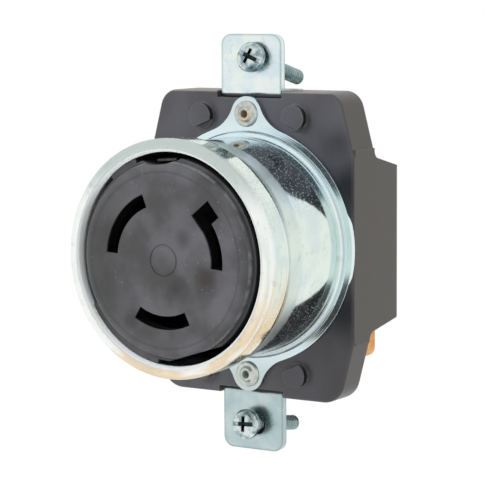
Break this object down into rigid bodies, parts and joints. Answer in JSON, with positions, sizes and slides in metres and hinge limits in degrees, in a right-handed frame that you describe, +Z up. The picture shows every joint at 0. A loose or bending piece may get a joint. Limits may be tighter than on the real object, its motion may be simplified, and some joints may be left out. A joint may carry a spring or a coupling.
{
  "type": "flush-mount locking power receptacle",
  "caption": "Three-slot locking power receptacle: black moulded housing and face inside a round plated steel shell, on two slotted mounting ears with loose screws.",
  "frame": {"origin": "centre of the device, on the plane where the two mounting ears seat on the wall box", "axes": "+Z up through the two mounting slots, +X right as seen from the front, -Y out of the wall along the shell's axis"},
  "size_m": [0.0546, 0.0565, 0.0948],
  "materials": {
    "zinc_shell": "bright zinc plate on drawn steel, slightly streaked",
    "zinc_strap": "bright zinc plate on steel strip, bluish",
    "zinc_screw": "zinc plated screw, teal-grey chromate",
    "rivet_steel": "plated tubular rivet, faint brass tint",
    "face_moulding": "dark grey mineral-filled moulding, mottled",
    "body_moulding": "black thermoset moulding, slightly glossy",
    "cover_moulding": "black moulded cover",
    "brass": "plain brass strip and bar",
    "spring_steel": "tempered spring steel",
    "terminal_steel": "nickel plated steel",
    "ground_green": "green lacquered steel",
    "fibre": "red-brown vulcanised fibre"
  },
  "bodies": {
    "root": {"backup_spring_bottom": "spring_steel", "backup_spring_left": "spring_steel", "backup_spring_right": "spring_steel", "contact_bottom": "brass", "contact_left": "brass", "contact_right": "brass", "ear_bottom": "zinc_strap", "ear_top": "zinc_strap", "ground_spring": "spring_steel", "housing": "body_moulding", "insulator": "face_moulding", "rear_cover": "cover_moulding", "rivet_bottom": "rivet_steel", "rivet_top": "rivet_steel", "shell_cup": "zinc_shell", "terminal_lug_bottom": "brass", "terminal_lug_left": "brass", "terminal_lug_right": "brass", "tie_screws": "terminal_steel"},
    "washer_top": {"retainer_washer_top": "fibre"},
    "screw_top": {"mounting_screw_top": "zinc_screw"},
    "washer_bottom": {"retainer_washer_bottom": "fibre"},
    "screw_bottom": {"mounting_screw_bottom": "zinc_screw"},
    "pad_right": {"pressure_pad_right": "brass"},
    "clamp_screw_right": {"set_screw_right": "terminal_steel"},
    "pad_left": {"pressure_pad_left": "brass"},
    "clamp_screw_left": {"set_screw_left": "terminal_steel"},
    "pad_bottom": {"pressure_pad_bottom": "brass"},
    "clamp_screw_bottom": {"set_screw_bottom": "terminal_steel"},
    "ground_plate": {"ground_clamp": "terminal_steel"},
    "ground_head": {"ground_screw": "ground_green"}
  },
  "joints": [
    {"name": "top_screw_slide", "type": "slide", "parent": "root", "child": "washer_top", "axis": [0, -0.969, 0.247], "range_m": [0, 0.0015]},
    {"name": "top_screw_spin", "type": "hinge", "parent": "washer_top", "child": "screw_top", "pos_m": [0.0009, -0.00085, 0.04167], "axis": [0, -0.969, 0.247], "continuous": true},
    {"name": "bottom_screw_slide", "type": "slide", "parent": "root", "child": "washer_bottom", "axis": [0, -0.9882, 0.153], "range_m": [-0.0018, 0]},
    {"name": "bottom_screw_spin", "type": "hinge", "parent": "washer_bottom", "child": "screw_bottom", "pos_m": [0, -0.00085, -0.04167], "axis": [0, -0.9882, 0.153], "continuous": true},
    {"name": "pad_right_travel", "type": "slide", "parent": "root", "child": "pad_right", "axis": [0, 0, 1], "range_m": [0, 0.00278]},
    {"name": "set_screw_right_spin", "type": "hinge", "parent": "pad_right", "child": "clamp_screw_right", "pos_m": [0.0175, 0.0096, -0.0225], "axis": [0, 0, 1], "range_deg": [0, 1262]},
    {"name": "pad_left_travel", "type": "slide", "parent": "root", "child": "pad_left", "axis": [0, 0, -1], "range_m": [0, 0.00278]},
    {"name": "set_screw_left_spin", "type": "hinge", "parent": "pad_left", "child": "clamp_screw_left", "pos_m": [-0.0175, 0.0119, 0.0225], "axis": [0, 0, -1], "range_deg": [0, 1262]},
    {"name": "pad_bottom_travel", "type": "slide", "parent": "root", "child": "pad_bottom", "axis": [0, 0, 1], "range_m": [0, 0.00278]},
    {"name": "set_screw_bottom_spin", "type": "hinge", "parent": "pad_bottom", "child": "clamp_screw_bottom", "pos_m": [-0.0175, 0.0096, -0.0225], "axis": [0, 0, 1], "range_deg": [0, 1262]},
    {"name": "ground_clamp_travel", "type": "slide", "parent": "root", "child": "ground_plate", "axis": [0, -1, 0], "range_m": [0, 0.00238]},
    {"name": "ground_screw_spin", "type": "hinge", "parent": "ground_plate", "child": "ground_head", "pos_m": [0.0123, 0.007, 0.0272], "axis": [0, -1, 0], "range_deg": [0, 1082]}
  ],
  "couplings": [
    {"joint": "set_screw_right_spin", "follows": "pad_right_travel", "rad_per_m": 7915.8},
    {"joint": "set_screw_left_spin", "follows": "pad_left_travel", "rad_per_m": 7915.8},
    {"joint": "set_screw_bottom_spin", "follows": "pad_bottom_travel", "rad_per_m": 7915.8},
    {"joint": "ground_screw_spin", "follows": "ground_clamp_travel", "rad_per_m": 7915.8}
  ]
}
